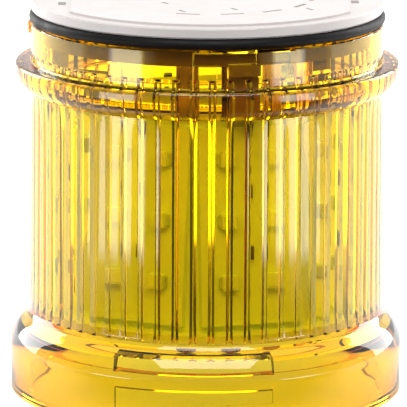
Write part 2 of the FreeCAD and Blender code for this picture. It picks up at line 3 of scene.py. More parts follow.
import bmesh
import bpy
import numpy as np
from mathutils import Matrix, Vector


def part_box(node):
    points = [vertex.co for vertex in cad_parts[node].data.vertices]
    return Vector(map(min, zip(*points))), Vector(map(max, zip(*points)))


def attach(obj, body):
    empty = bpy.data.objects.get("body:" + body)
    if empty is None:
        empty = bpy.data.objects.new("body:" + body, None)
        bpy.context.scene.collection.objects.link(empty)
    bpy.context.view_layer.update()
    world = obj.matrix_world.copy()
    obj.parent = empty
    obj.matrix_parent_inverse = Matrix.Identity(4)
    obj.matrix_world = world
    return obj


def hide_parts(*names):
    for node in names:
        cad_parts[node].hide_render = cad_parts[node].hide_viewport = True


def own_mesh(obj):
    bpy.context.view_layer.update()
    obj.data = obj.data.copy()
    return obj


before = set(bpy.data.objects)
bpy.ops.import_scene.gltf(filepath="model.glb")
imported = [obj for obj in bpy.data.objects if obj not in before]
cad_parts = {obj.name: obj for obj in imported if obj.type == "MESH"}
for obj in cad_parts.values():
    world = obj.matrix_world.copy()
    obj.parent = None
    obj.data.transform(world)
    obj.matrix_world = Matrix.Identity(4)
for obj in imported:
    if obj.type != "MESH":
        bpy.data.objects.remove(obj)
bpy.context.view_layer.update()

# A yellow light module of a stack light. The sizes of shapes are in millimetres, and those of the
# studio in metres. Angles round the axis are in degrees, counted from -Y towards +X. The lens and
# the insert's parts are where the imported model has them.

MM = 0.001
CONTACTS = 6

# ---------------------------------------------------------------- helpers


def srgb(red, green, blue):
    """A display colour, 0 to 255, as the linear colour that a shader takes."""

    def linear(value):
        value /= 255.0
        return value / 12.92 if value <= 0.04045 else ((value + 0.055) / 1.055) ** 2.4

    return (linear(red), linear(green), linear(blue), 1.0)


def new_object(name, mesh, body):
    piece = bpy.data.objects.new(name, mesh)
    bpy.context.scene.collection.objects.link(piece)
    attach(piece, body)
    return piece


def smooth(mesh, angle):
    mesh.shade_smooth()
    mesh.set_sharp_from_angle(angle=math.radians(angle))


def ring_mesh(name, rows, close_loop=True):
    """A mesh of rings. rows is an array of rings x points x 3, each ring is closed, and the last
    ring joins the first if close_loop is set."""
    count_rows, count_columns = rows.shape[0], rows.shape[1]
    row_index = np.arange(count_rows if close_loop else count_rows - 1)
    column_index = np.arange(count_columns)
    row_grid, column_grid = np.meshgrid(row_index, column_index, indexing="ij")
    next_row = (row_grid + 1) % count_rows
    next_column = (column_grid + 1) % count_columns
    faces = np.stack(
        [
            row_grid * count_columns + column_grid,
            row_grid * count_columns + next_column,
            next_row * count_columns + next_column,
            next_row * count_columns + column_grid,
        ],
        axis=-1,
    ).reshape(-1, 4)
    mesh = bpy.data.meshes.new(name)
    mesh.from_pydata(rows.reshape(-1, 3).tolist(), [], faces.tolist())
    mesh.update()
    return mesh


# ---------------------------------------------------------------- materials

# Noise scales count per metre, bump depths are in metres.
EVEN = (1.0, 1.0, 1.0)
MOTTLE_SCALE = 60.0
GLOSS_SCALE = 240.0
GLOSS_SPREAD = 0.15
GRAIN_SCALE = 900.0
GRAIN_STRENGTH = 0.25
GRAIN_DEPTH = 0.00002
TARNISH_SCALE = 150.0
ROLLING_SCALE = 900.0
ROLLING_SPREAD = 0.3
ROLLING_STRENGTH = 0.2
ROLLING_DEPTH = 0.00001
ALONG_Z = (1.0, 1.0, 0.05)

LENS_TINT = (1.0, 0.905, 0.15, 1.0)
LENS_SHADOW_TINT = (1.0, 0.93, 0.30, 1.0)
LENS_DEPTH_TINT = (0.995, 0.86, 0.0, 1.0)
LENS_DENSITY = 430.0
POLYCARBONATE_IOR = 1.585
HAZE_SCALE = 35.0
HAZE_ROUGHNESS = (0.004, 0.012)


class Shader:
    """A node material with short calls for the nodes that these materials share."""

    def __init__(self, name):
        self.material = bpy.data.materials.new(name)
        self.material.use_nodes = True
        self.tree = self.material.node_tree
        self.bsdf = self.tree.nodes["Principled BSDF"]
        self.output = self.tree.nodes["Material Output"]

    def node(self, kind, **settings):
        made = self.tree.nodes.new(kind)
        for key, value in settings.items():
            setattr(made, key, value)
        return made

    def feed(self, target, value):
        """Links a socket to the target, or sets the target to a plain value."""
        if isinstance(value, bpy.types.NodeSocket):
            self.tree.links.new(value, target)
        else:
            target.default_value = value

    def set(self, **values):
        """Feeds the surface's own inputs, with a space for each underscore in their names."""
        for key, value in values.items():
            self.feed(self.bsdf.inputs[key.replace("_", " ")], value)

    def position(self, scale=EVEN):
        """Object coordinates, which are the module's own frame in metres."""
        coordinates = self.node("ShaderNodeTexCoord")
        mapping = self.node("ShaderNodeMapping")
        self.feed(mapping.inputs["Scale"], scale)
        self.feed(mapping.inputs["Vector"], coordinates.outputs["Object"])
        return mapping.outputs["Vector"]

    def noise(self, scale, detail=3.0, stretch=EVEN):
        texture = self.node("ShaderNodeTexNoise")
        self.feed(texture.inputs["Scale"], scale)
        self.feed(texture.inputs["Detail"], detail)
        self.feed(texture.inputs["Vector"], self.position(stretch))
        return texture.outputs["Fac"]

    def ramp(self, value, low, high, start=0.35, end=0.65):
        """Maps a value between start and end to a number between low and high."""
        span = self.node("ShaderNodeMapRange")
        self.feed(span.inputs["From Min"], start)
        self.feed(span.inputs["From Max"], end)
        self.feed(span.inputs["To Min"], low)
        self.feed(span.inputs["To Max"], high)
        self.feed(span.inputs["Value"], value)
        return span.outputs["Result"]

    def blend(self, share, first, second):
        mix = self.node("ShaderNodeMix", data_type="RGBA")
        self.feed(mix.inputs["A"], first)
        self.feed(mix.inputs["B"], second)
        self.feed(mix.inputs["Factor"], share)
        return mix.outputs["Result"]

    def calculate(self, operation, *values):
        """The result of a math node on sockets or plain numbers."""
        made = self.node("ShaderNodeMath", operation=operation)
        for target, value in zip(made.inputs, values):
            self.feed(target, value)
        return made.outputs["Value"]

    def bump(self, value, strength, distance):
        made = self.node("ShaderNodeBump")
        self.feed(made.inputs["Strength"], strength)
        self.feed(made.inputs["Distance"], distance)
        self.feed(made.inputs["Height"], value)
        self.set(Normal=made.outputs["Normal"])


def moulded(name, light, dark, roughness, grain=GRAIN_SCALE, specular=0.5):
    """Moulded plastic: faint mottling in colour and gloss, and a fine surface grain."""
    shader = Shader(name)
    mottle = shader.ramp(shader.noise(MOTTLE_SCALE), 0.0, 1.0)
    glossy, dull = roughness * (1.0 - GLOSS_SPREAD), roughness * (1.0 + GLOSS_SPREAD)
    shader.set(
        Base_Color=shader.blend(mottle, light, dark),
        Roughness=shader.ramp(shader.noise(GLOSS_SCALE), glossy, dull),
        Specular_IOR_Level=specular,
    )
    shader.bump(shader.noise(grain, 2.0), GRAIN_STRENGTH, GRAIN_DEPTH)
    return shader.material


def metal(name, light, dark, roughness, stretch=EVEN):
    """Rolled or drawn metal: fine lines along one direction and light tarnish."""
    shader = Shader(name)
    lines = shader.noise(ROLLING_SCALE, 4.0, stretch)
    tarnish = shader.ramp(shader.noise(TARNISH_SCALE), 0.0, 1.0)
    glossy, dull = roughness * (1.0 - ROLLING_SPREAD), roughness * (1.0 + ROLLING_SPREAD)
    shader.set(
        Base_Color=shader.blend(tarnish, light, dark),
        Roughness=shader.ramp(lines, glossy, dull),
        Metallic=1.0,
    )
    shader.bump(lines, ROLLING_STRENGTH, ROLLING_DEPTH)
    return shader.material


def lens_material():
    """Clear yellow polycarbonate, tinted at its faces and through its thickness. A shadow ray
    meets a plain tint instead, so light gets through to the insert."""
    shader = Shader("lens_yellow")
    shader.set(
        Base_Color=LENS_TINT,
        Transmission_Weight=1.0,
        IOR=POLYCARBONATE_IOR,
        Specular_IOR_Level=0.5,
        Roughness=shader.ramp(shader.noise(HAZE_SCALE, 2.0), *HAZE_ROUGHNESS),
    )
    clear = shader.node("ShaderNodeBsdfTransparent")
    shader.feed(clear.inputs["Color"], LENS_SHADOW_TINT)
    path = shader.node("ShaderNodeLightPath")
    mix = shader.node("ShaderNodeMixShader")
    shader.feed(mix.inputs["Fac"], path.outputs["Is Shadow Ray"])
    shader.feed(mix.inputs[1], shader.bsdf.outputs["BSDF"])
    shader.feed(mix.inputs[2], clear.outputs["BSDF"])
    shader.feed(shader.output.inputs["Surface"], mix.outputs["Shader"])
    depth = shader.node("ShaderNodeVolumeAbsorption")
    shader.feed(depth.inputs["Color"], LENS_DEPTH_TINT)
    shader.feed(depth.inputs["Density"], LENS_DENSITY)
    shader.feed(shader.output.inputs["Volume"], depth.outputs["Volume"])
    return shader.material


# ---------------------------------------------------------------- the lens

# Radii, levels and bends of the lens's section.
LENS = {
    "skirt": 36.5,
    "skirt_lip": 0.25,
    "skirt_waist": 0.09,
    "skirt_straight": 8.45,
    "shoulder_bend": 7.0,
    "barrel": 32.83,
    "barrel_top": 32.62,
    "barrel_foot": 16.06,
    "foot_bend": 2.63,
    "barrel_head": 56.56,
    "collar": 35.57,
    "collar_bend": 4.24,
    "collar_widest": 60.6,
    "collar_top": 62.0,
    "collar_edge": 0.7,
    "neck": 32.6,
    "neck_root": 32.85,
    "neck_bevel": 0.25,
    "top": 69.06,
    "skirt_bore": 32.8,
    "groove": 33.2,
    "groove_foot": 9.6,
    "groove_head": 11.5,
    "bore": 30.9,
    "neck_cone": 1.0,
    "neck_bore": 30.7,
}
HALF_STEP = 0.05
RIBS = 60
RIB_PITCH = 360.0 / RIBS
RIB_START = 1.7
RIB_BASE = 1.36
RIB_CREST = 0.42
RIB_HEIGHT = 0.56
RIB_FOOT = 14.7
RIB_HEAD = 63.6
RIB_HIP = 1.1
LOBE_DEPTH = 0.17
LOBE_FADE = 2.0
THIRDS = (0.0, 120.0, 240.0)

# Raised or sunk patches, three of each at 120 degrees: first angle, width, levels and radius.
LUG = {"start": -4.4, "width": 33.4, "low": 66.6, "high": 68.8, "radius": 33.2}
LEG = {"start": -4.4, "width": 7.4, "low": 61.5, "high": 66.6, "radius": 33.2}
SLOT_ENTRY = {"start": -28.6, "width": 35.4, "low": -1.0, "high": 6.95, "radius": 33.5}
SLOT_LOCK = {"start": -28.6, "width": 49.4, "low": 4.45, "high": 6.95, "radius": 33.5}
RELIEF = {"start": -28.6, "width": 49.4, "low": 9.6, "high": 12.6, "radius": 34.5}
KEY_SLOT = {"start": 6.7, "width": 20.9, "low": 64.0, "high": 66.6, "radius": 31.9}
KEY_MOUTH = {"start": 16.2, "width": 11.4, "low": 66.3, "high": 71.0, "radius": 31.9}
OUTER_PATCHES = (LUG, LEG)
INNER_PATCHES = (SLOT_ENTRY, SLOT_LOCK, RELIEF, KEY_SLOT, KEY_MOUTH)
PATCH_SOFT = 0.16
PATCH_RADIUS = 32.0

# Where the lens mesh has its columns and rows: shares of a rib's half width and of the gap
# between two ribs, angles and levels on both sides of an edge, and the least steps. Rows are
# about so far apart, and start or end a gap away from a bend.
RIB_COLUMNS = (0.62, 0.9, 0.98)
CREST_COLUMNS = (0.0, 0.7, 1.0)
CREST_MARGIN = 0.09
GAP_COLUMNS = (0.17, 0.33, 0.5, 0.67, 0.83)
EDGE_ANGLES = (-0.15, -0.05, 0.05, 0.15)
EDGE_LEVELS = (-0.09, -0.03, 0.03, 0.09)
RIB_END_LEVELS = (0.0, 0.15, 0.3, 0.42, 0.5)
LEAST_ANGLE = 0.03
LEAST_RISE = 0.02
SKIRT_ROWS = 1.2
SHOULDER_ROWS = 0.35
BARREL_ROWS = 2.0
COLLAR_ROWS = 0.22
COLLAR_EDGE_ROWS = 0.12
NECK_ROWS = 0.6
BORE_ROWS = 1.6
ROW_GAPS = {"shoulder": 0.3, "foot": 0.7, "head": 0.4, "collar": 0.12, "collar_edge": 0.2}
INNER_BEVEL = 0.15
BORE_LIP = 0.2
LENS_SHARP = 40.0


def outer_radius(z):
    """The outer radius of skirt, shoulder, barrel and collar at a level."""
    d = LENS
    slope = math.sin(math.radians(45.0))
    bend = d["shoulder_bend"]
    if z <= d["skirt_straight"]:
        return d["skirt"] - d["skirt_waist"] * math.sin(math.pi * z / d["skirt_straight"])
    if z <= d["skirt_straight"] + bend * slope:
        rise = z - d["skirt_straight"]
        return d["skirt"] - bend + math.sqrt(bend**2 - rise**2)
    foot = d["foot_bend"]
    if z >= d["barrel_foot"] - foot * slope:
        if z <= d["barrel_foot"]:
            return d["barrel"] + foot - math.sqrt(foot**2 - (d["barrel_foot"] - z) ** 2)
        if z <= d["barrel_head"]:
            share = (z - d["barrel_foot"]) / (d["barrel_head"] - d["barrel_foot"])
            return d["barrel"] + (d["barrel_top"] - d["barrel"]) * share
        curve = d["collar_bend"]
        if z <= d["collar_widest"]:
            return d["collar"] - curve + math.sqrt(curve**2 - (d["collar_widest"] - z) ** 2)
        edge = d["collar_edge"]
        edge_level = d["collar_top"] - edge
        if z <= edge_level:
            return d["collar"]
        return d["collar"] - edge + math.sqrt(max(edge**2 - (z - edge_level) ** 2, 0.0))
    low = d["skirt_straight"] + bend * slope
    high = d["barrel_foot"] - foot * slope
    start = d["skirt"] - bend * (1.0 - slope)
    end = d["barrel"] + foot * (1.0 - slope)
    return start + (end - start) * (z - low) / (high - low)


def cone_top():
    """The level where the cone above the groove reaches the barrel's bore."""
    return LENS["groove_head"] + LENS["groove"] - LENS["bore"]


def inner_radius(z):
    """The bore at a level: the skirt's bore, a groove, a short cone, the barrel and the neck."""
    d = LENS
    steps = [
        (0.0, d["skirt_bore"]),
        (d["groove_foot"] - HALF_STEP, d["skirt_bore"]),
        (d["groove_foot"] + HALF_STEP, d["groove"]),
        (d["groove_head"], d["groove"]),
        (cone_top(), d["bore"]),
        (RIB_HEAD - d["neck_cone"], d["bore"]),
        (RIB_HEAD, d["neck_bore"]),
        (d["top"], d["neck_bore"]),
    ]
    return float(np.interp(z, [s[0] for s in steps], [s[1] for s in steps]))


def step(value, edge, width):
    """0 below an edge and 1 above it, with a smooth change over a width."""
    t = np.clip((value - edge) / width + 0.5, 0.0, 1.0)
    return t * t * (3.0 - 2.0 * t)


def patch(angles, z, made):
    """1 inside three equally spaced patches of angle and level, 0 outside, with soft edges."""
    total = np.zeros_like(angles)
    soft_angle = math.degrees(PATCH_SOFT / PATCH_RADIUS)
    for turn in THIRDS:
        centre = made["start"] + turn + made["width"] / 2.0
        off = np.abs((angles - centre + 180.0) % 360.0 - 180.0)
        total = np.maximum(total, 1.0 - step(off, made["width"] / 2.0, soft_angle))
    return total * step(z, made["low"], PATCH_SOFT) * (1.0 - step(z, made["high"], PATCH_SOFT))


def patched(angles, z, base, patches):
    """The radius at each angle, raised from a base to each patch's own radius inside it."""
    radius = np.full_like(angles, base)
    for made in patches:
        share = patch(angles, z, made)
        radius = np.maximum(radius, base + (made["radius"] - base) * share)
    return radius


def spaced(values, least):
    """The values in order, without those that come too close above another."""
    values = sorted(values)
    kept = values[:1]
    for value in values[1:]:
        if value - kept[-1] > least:
            kept.append(value)
    return kept


def lens_angles():
    """The columns of the lens mesh: close together across each rib and at each patch's edges."""
    half = math.degrees(RIB_BASE / 2.0 / LENS["bore"])
    gap = RIB_PITCH - 2 * half
    crest = RIB_CREST / RIB_BASE
    side = [crest * share for share in CREST_COLUMNS] + [crest + CREST_MARGIN, *RIB_COLUMNS]
    across = [-share for share in reversed(side[1:])] + side
    angles = []
    for rib in range(RIBS):
        centre = RIB_START + rib * RIB_PITCH
        angles += [centre + half * share for share in across]
        angles += [centre + half + gap * share for share in GAP_COLUMNS]
    for made in OUTER_PATCHES + INNER_PATCHES:
        for turn in THIRDS:
            for edge in (made["start"] + turn, made["start"] + turn + made["width"]):
                angles += [edge + off for off in EDGE_ANGLES]
    return np.array(spaced([angle % 360.0 for angle in angles], LEAST_ANGLE))


def levels(low, high, spacing, edges=()):
    """Levels from low to high about a spacing apart, with more of them at each edge."""
    count = max(2, int(round((high - low) / spacing)) + 1)
    found = list(np.linspace(low, high, count))
    for edge in edges:
        found += [edge + off for off in EDGE_LEVELS]
    return spaced([z for z in found if low <= z <= high], LEAST_RISE)


def rib_height(angles, z):
    """How far the ribs stand in from the bore: flat crests, sloping flanks and hipped ends."""
    off = (angles - RIB_START + RIB_PITCH / 2.0) % RIB_PITCH - RIB_PITCH / 2.0
    across = np.abs(np.radians(off)) * LENS["bore"]
    slope = RIB_HEIGHT / ((RIB_BASE - RIB_CREST) / 2.0)
    flank = (RIB_BASE / 2.0 - across) * slope
    end = min(RIB_HEAD - z, z - RIB_FOOT) * RIB_HIP
    height = np.minimum(np.minimum(flank, end), RIB_HEIGHT)
    return np.maximum(height, 0.0)


def lobes(angles, z):
    """How far the barrel's outer face falls in at each rib, from a shallow lobe between two."""
    off = ((angles - RIB_START) % RIB_PITCH) / RIB_PITCH * 2.0 - 1.0
    ends = min(z - LENS["barrel_foot"], LENS["barrel_head"] - z) / LOBE_FADE
    return LOBE_DEPTH * off**2 * min(max(ends, 0.0), 1.0)


def lens_mesh():
    """The lens as rings round its axis: up the outside from the skirt's edge, over the top and
    down the inside."""
    d = LENS
    angles = lens_angles()
    heading = np.radians(angles)
    rows = []

    def add(radius, z):
        x = radius * np.sin(heading)
        y = -radius * np.cos(heading)
        rows.append(np.stack([x, y, np.full_like(heading, z)], axis=1) * MM)

    def plain(low, high, spacing):
        for z in levels(low, high, spacing):
            add(outer_radius(z), z)

    def inside(z):
        return patched(angles, z, inner_radius(z), INNER_PATCHES) - rib_height(angles, z)

    add(d["skirt"] - d["skirt_lip"], 0.0)
    plain(d["skirt_lip"], d["skirt_straight"], SKIRT_ROWS)
    plain(d["skirt_straight"] + ROW_GAPS["shoulder"], d["barrel_foot"], SHOULDER_ROWS)
    barrel = (d["barrel_foot"] + ROW_GAPS["foot"], d["barrel_head"] - ROW_GAPS["head"])
    for z in levels(*barrel, BARREL_ROWS):
        add(outer_radius(z) - lobes(angles, z), z)
    plain(d["barrel_head"] - ROW_GAPS["collar"], d["collar_widest"], COLLAR_ROWS)
    plain(d["collar_widest"] + ROW_GAPS["collar_edge"], d["collar_top"], COLLAR_EDGE_ROWS)
    add(patched(angles, d["collar_top"], d["neck_root"], OUTER_PATCHES), d["collar_top"])
    neck_foot, neck_head = d["collar_top"] + d["neck_bevel"], d["top"] - d["neck_bevel"]
    for z in levels(neck_foot, neck_head, NECK_ROWS, (LUG["low"], LUG["high"])):
        add(patched(angles, z, d["neck"], OUTER_PATCHES), z)
    add(d["neck"] - d["neck_bevel"], d["top"])
    add(np.maximum(inside(d["top"]), d["neck_bore"] + INNER_BEVEL), d["top"])
    edges = [made[key] for made in INNER_PATCHES for key in ("low", "high")]
    edges += [RIB_HEAD - off for off in RIB_END_LEVELS]
    edges += [RIB_FOOT + off for off in RIB_END_LEVELS]
    edges += [d["groove_foot"], d["groove_head"], cone_top()]
    for z in reversed(levels(BORE_LIP, d["top"] - INNER_BEVEL, BORE_ROWS, edges)):
        add(inside(z), z)
    add(inside(0.0) + BORE_LIP, 0.0)
    mesh = ring_mesh("lens", np.array(rows))
    smooth(mesh, LENS_SHARP)
    return mesh


def make_lens():
    piece = new_object("lens", lens_mesh(), "lens")
    piece.data.materials.append(lens_material())
    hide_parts("lens_body")


# ---------------------------------------------------------------- boards and their parts

MAST = {"foot": 16.4, "head": 54.5, "foot_radius": 28.2, "head_radius": 25.9, "faces": 8}
BOARD = {"start": -27.5, "foot": 17.6, "thickness": 1.0, "gap": 0.02}
LED = {"width": 3.5, "height": 2.8, "depth": 1.4, "first": 6.6, "pitch": 11.3, "column": 4.1}
LED_ROWS = 3
LED_FRAME = {"narrower": 0.5, "shallower": 0.08, "bevel": 0.12}
LED_WINDOW = {"narrower": 1.3, "border": 0.4, "depth": 0.16, "bevel": 0.06}
LED_PAD = {"width": 0.4, "depth": 0.55, "border": 0.35, "inset": 0.2, "bevel": 0.08}
CHIP = {"width": 1.6, "height": 3.2, "depth": 0.6, "rise": 5.0, "bevel": 0.06}
CHIP_END = {"height": 0.4, "cover": 0.35, "smaller": 0.04}
BOARD_SHARP = 30.0


def board_frame(number):
    """The place of a board's foot on its leaning mast face: X across, -Y out, Z up the face."""
    flat = math.cos(math.pi / MAST["faces"])
    slope = (MAST["foot_radius"] - MAST["head_radius"]) / (MAST["head"] - MAST["foot"])
    corner = MAST["foot_radius"] - slope * (BOARD["foot"] - MAST["foot"])
    heading = math.radians(BOARD["start"] + number * 360.0 / MAST["faces"])
    lean = -math.atan(slope * flat)
    shift = Matrix.Translation((0.0, (-corner * flat - BOARD["gap"]) * MM, BOARD["foot"] * MM))
    return Matrix.Rotation(heading, 4, "Z") @ shift @ Matrix.Rotation(lean, 4, "X")


def block(bm, size, place, bevel, material):
    """A box with bevelled edges, added to a bmesh. size is width, depth and height. place is the
    middle across, the level of its back and the level of its foot."""
    width, depth, height = size
    x, back, foot = place
    made = bmesh.ops.create_cube(bm, size=1.0)
    centre = Matrix.Translation((x * MM, -(back + depth / 2.0) * MM, (foot + height / 2.0) * MM))
    sizes = Matrix.Diagonal((width * MM, depth * MM, height * MM, 1.0))
    bmesh.ops.transform(bm, matrix=centre @ sizes, verts=made["verts"])
    edges = list({edge for vert in made["verts"] for edge in vert.link_edges})
    faces = {face for vert in made["verts"] for face in vert.link_faces}
    for face in faces:
        face.material_index = material
    bmesh.ops.bevel(
        bm, geom=edges, offset=bevel * MM, segments=2, affect="EDGES", material=material
    )


def board_piece(name, number, materials, build):
    """A piece in a board's own frame, moved to that board's place on the mast."""
    bm = bmesh.new()
    build(bm)
    bmesh.ops.transform(bm, matrix=board_frame(number), verts=bm.verts)
    mesh = bpy.data.meshes.new(name)
    bm.to_mesh(mesh)
    bm.free()
    smooth(mesh, BOARD_SHARP)
    piece = new_object(name, mesh, "insert")
    for material in materials:
        piece.data.materials.append(material)
    return piece


def led_rows():
    return [LED["first"] + row * LED["pitch"] for row in range(LED_ROWS)]


def build_leds(bm):
    """LED packages: a frame, a window of phosphor set in it, and two solder pads."""
    back = BOARD["thickness"]
    wide, deep, high = LED["width"], LED["depth"], LED["height"]
    frame_size = (wide - LED_FRAME["narrower"], deep - LED_FRAME["shallower"], high)
    window_deep, window_border = LED_WINDOW["depth"], LED_WINDOW["border"]
    window_size = (wide - LED_WINDOW["narrower"], window_deep, high - 2.0 * window_border)
    pad_border = LED_PAD["border"]
    pad_size = (LED_PAD["width"], deep * LED_PAD["depth"], high - 2.0 * pad_border)
    for up in led_rows():
        for x in (-LED["column"], LED["column"]):
            block(bm, frame_size, (x, back, up), LED_FRAME["bevel"], 0)
            window = (x, back + deep - window_deep, up + window_border)
            block(bm, window_size, window, LED_WINDOW["bevel"], 1)
            for side in (-1.0, 1.0):
                pad = x + side * (wide / 2.0 - LED_PAD["inset"])
                block(bm, pad_size, (pad, back, up + pad_border), LED_PAD["bevel"], 2)


def build_resistors(bm):
    """Chip resistors: a dark body between two plated ends."""
    back = BOARD["thickness"]
    wide, deep, high = CHIP["width"], CHIP["depth"], CHIP["height"]
    cover, smaller = CHIP_END["cover"], CHIP_END["smaller"]
    end_size = (wide - smaller, deep - smaller, CHIP_END["height"])
    for up in led_rows():
        foot = up + CHIP["rise"]
        body_size = (wide, deep, high - 2.0 * cover)
        block(bm, body_size, (0.0, back, foot + cover), CHIP["bevel"], 0)
        for end in (foot, foot + high - CHIP_END["height"]):
            block(bm, end_size, (0.0, back, end), CHIP["bevel"], 1)


def make_boards(package, phosphor, solder, chip):
    """The finer LEDs and resistors that stand for each board's CAD groups."""
    leds = [package, phosphor, solder]
    ends = [chip, solder]
    for number in range(MAST["faces"]):
        label = number + 1
        group = board_piece(f"leds_{label}", number, leds, build_leds)
        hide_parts(f"led_group_{label}")
        chips = board_piece(f"resistors_{label}", number, ends, build_resistors)
        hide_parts(f"resistor_group_{label}")


# ---------------------------------------------------------------- springs of the contacts

SPRING = {"radius": 0.85, "wire": 0.125, "turns": 6.0, "dead": 0.9, "foot": 17.4, "head": 22.6}
SPRING_GAP = 0.05
SPRING_STEPS = 24
SPRING_SHARP = 50.0
WIRE_SIDES = 10


def spring_rows(centre):
    """Rings of points along a compression spring with closed ends, round its upright axis."""
    d = SPRING
    share = np.linspace(0.0, 1.0, int(d["turns"] * SPRING_STEPS) + 1)
    low = d["foot"] + SPRING_GAP + d["wire"]
    high = d["head"] - SPRING_GAP - d["wire"]
    flat = d["dead"] / d["turns"]
    rise = d["dead"] * 2.0 * d["wire"]
    level = np.interp(share, [0.0, flat, 1.0 - flat, 1.0], [low, low + rise, high - rise, high])
    heading = 2.0 * math.pi * d["turns"] * share
    section = 2.0 * math.pi * np.arange(WIRE_SIDES) / WIRE_SIDES
    radius = d["radius"] + d["wire"] * np.cos(section)[None, :]
    x = centre.x + radius * np.cos(heading)[:, None] * MM
    y = centre.y + radius * np.sin(heading)[:, None] * MM
    z = (level[:, None] + d["wire"] * np.sin(section)[None, :]) * MM
    return np.stack([x, y, z], axis=-1)


def make_springs(steel):
    """Coils with closed ends, with their upper ends against the bus bars."""
    for number in range(1, CONTACTS + 1):
        low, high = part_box(f"contact_spring_{number}")
        centre = (Vector(low) + Vector(high)) / 2.0
        mesh = ring_mesh(f"spring_{number}", spring_rows(centre), close_loop=False)
        bm = bmesh.new()
        bm.from_mesh(mesh)
        bmesh.ops.holes_fill(bm, edges=bm.edges, sides=WIRE_SIDES)
        bmesh.ops.recalc_face_normals(bm, faces=bm.faces)
        bm.to_mesh(mesh)
        bm.free()
        smooth(mesh, SPRING_SHARP)
        piece = new_object(f"spring_{number}", mesh, "insert")
        piece.data.materials.append(steel)
        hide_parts(f"contact_spring_{number}")
        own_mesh(piece)


# ---------------------------------------------------------------- the insert


def paint(node, material):
    """Gives a CAD node a material in place of its own."""
    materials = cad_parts[node].data.materials
    materials.clear()
    materials.append(material)


def paint_insert():
    """The insert's materials, and its finer pieces: LEDs, resistors and springs."""
    white = moulded("insert_white", srgb(210, 232, 190), srgb(202, 224, 180), 0.45)
    paint("led_mast", white)
    paint("insert_base", white)
    paint("contact_carrier", moulded("carrier_black", srgb(38, 38, 40), srgb(30, 30, 32), 0.5))
    cap = moulded("cap_grey", srgb(219, 212, 209), srgb(214, 207, 204), 0.38, grain=1400.0)
    paint("contact_cap", cap)
    # Painted shade: the holder is the cap's light grey plastic, painted dark brown for the shade
    # it lies in under the cap.
    paint("cap_holder", moulded("holder_grey", srgb(116, 86, 62), srgb(100, 74, 54), 0.5))
    rubber = (srgb(14, 12, 12), srgb(20, 18, 18))
    paint("seal_ring", moulded("seal_black", *rubber, 0.5, grain=1800.0, specular=0.2))
    board = moulded("board_white", srgb(214, 238, 180), srgb(204, 230, 168), 0.35)
    chip = moulded("chip_black", srgb(84, 70, 38), srgb(70, 58, 32), 0.4)
    body = moulded("led_body", srgb(216, 238, 184), srgb(208, 232, 174), 0.3)
    phosphor = moulded("led_phosphor", srgb(214, 236, 170), srgb(208, 230, 160), 0.25)
    solder = moulded("solder", srgb(190, 206, 150), srgb(178, 194, 140), 0.4)
    for number in range(1, MAST["faces"] + 1):
        paint(f"led_board_{number}", board)
    make_boards(body, phosphor, solder, chip)
    brass = metal("contact_brass", srgb(214, 178, 96), srgb(186, 148, 78), 0.3, ALONG_Z)
    for number in range(1, CONTACTS + 1):
        paint(f"bus_bar_{number}", brass)
        paint(f"contact_blade_{number}", brass)
    make_springs(metal("spring_steel", srgb(168, 168, 170), srgb(140, 140, 144), 0.3))
    paint("driver_board", moulded("board_green", srgb(30, 96, 52), srgb(24, 84, 44), 0.3))
    paint("driver_screws", metal("screw_steel", srgb(190, 190, 192), srgb(160, 160, 164), 0.35))
    paint("capacitor", metal("capacitor_sleeve", srgb(170, 172, 176), srgb(150, 152, 156), 0.4))
    paint("inductor", moulded("ferrite", srgb(62, 58, 54), srgb(50, 46, 44), 0.55))
    paint("rectifier", chip)
    paint("regulator", chip)


# ---------------------------------------------------------------- studio

# Every rib bends what the lens shows, so its dark lines come from dark surroundings in front and
# its bright streaks from bright ones behind and aside. The camera sees all of them as white.
# Each pair holds the places between which a light grows or fades, by Y or by X, by the distance
# from the axis, or, where a strip starts and ends, by the angle from the front.
WORLD_FRONT = 0.25
WORLD_BACK = 1.1
WORLD_TURNS = (-0.2, 0.5)

FLOOR_HALF = 3.0
FLOOR_DROP = -0.0002
FLOOR_PALE = ((0.50, 0.50, 0.50, 1.0), (0.54, 0.54, 0.53, 1.0))
FLOOR_DARK = (0.03, 0.03, 0.03, 1.0)
FLOOR_SPECKS = 8.0
FLOOR_TURNS = (-0.045, -0.025)
FLOOR_GLOW = 0.85
FLOOR_UNDER = 0.3
WING_GLOW = 0.8
WING_WEDGE = 0.53
WING_SIDE = (0.02, 0.12)
WING_FAR = (0.11, 0.15)
WING_LEVEL = (-0.06, 0.0)
STRIP_GLOW = 4.5
STRIP_START = (math.radians(40.0), math.radians(43.0))
STRIP_END = (math.radians(62.0), math.radians(65.0))
STRIP_NEAR = (0.165, 0.185)
STRIP_FAR = (0.40, 0.50)

LIGHT_AIM = (0.0, 0.0, 0.035)
REAR_LIGHT = {"side": 0.62, "back": 0.52, "height": 0.26, "size": (0.45, 0.60), "power": 4.5}
TOP_LIGHT = {"centre": (0.0, -0.55, 0.75), "size": (0.8, 0.5), "power": 6.2}

CAMERA_DISTANCE = 0.9
CAMERA_HEIGHT = 0.2234
CAMERA_SIDE = -0.00054
CAMERA_PITCH = 11.85
CAMERA_ROLL = 0.29
CAMERA_LENS = 436.3
CAMERA_SENSOR = 36.0
CAMERA_NEAR = 0.01


def softbox(name, centre, size, power):
    data = bpy.data.lights.new(name, "AREA")
    data.shape = "RECTANGLE"
    data.size, data.size_y = size
    data.energy = power
    lamp = bpy.data.objects.new(name, data)
    lamp.location = centre
    aim = Vector(LIGHT_AIM) - Vector(centre)
    lamp.rotation_euler = aim.to_track_quat("-Z", "Y").to_euler()
    bpy.context.scene.collection.objects.link(lamp)


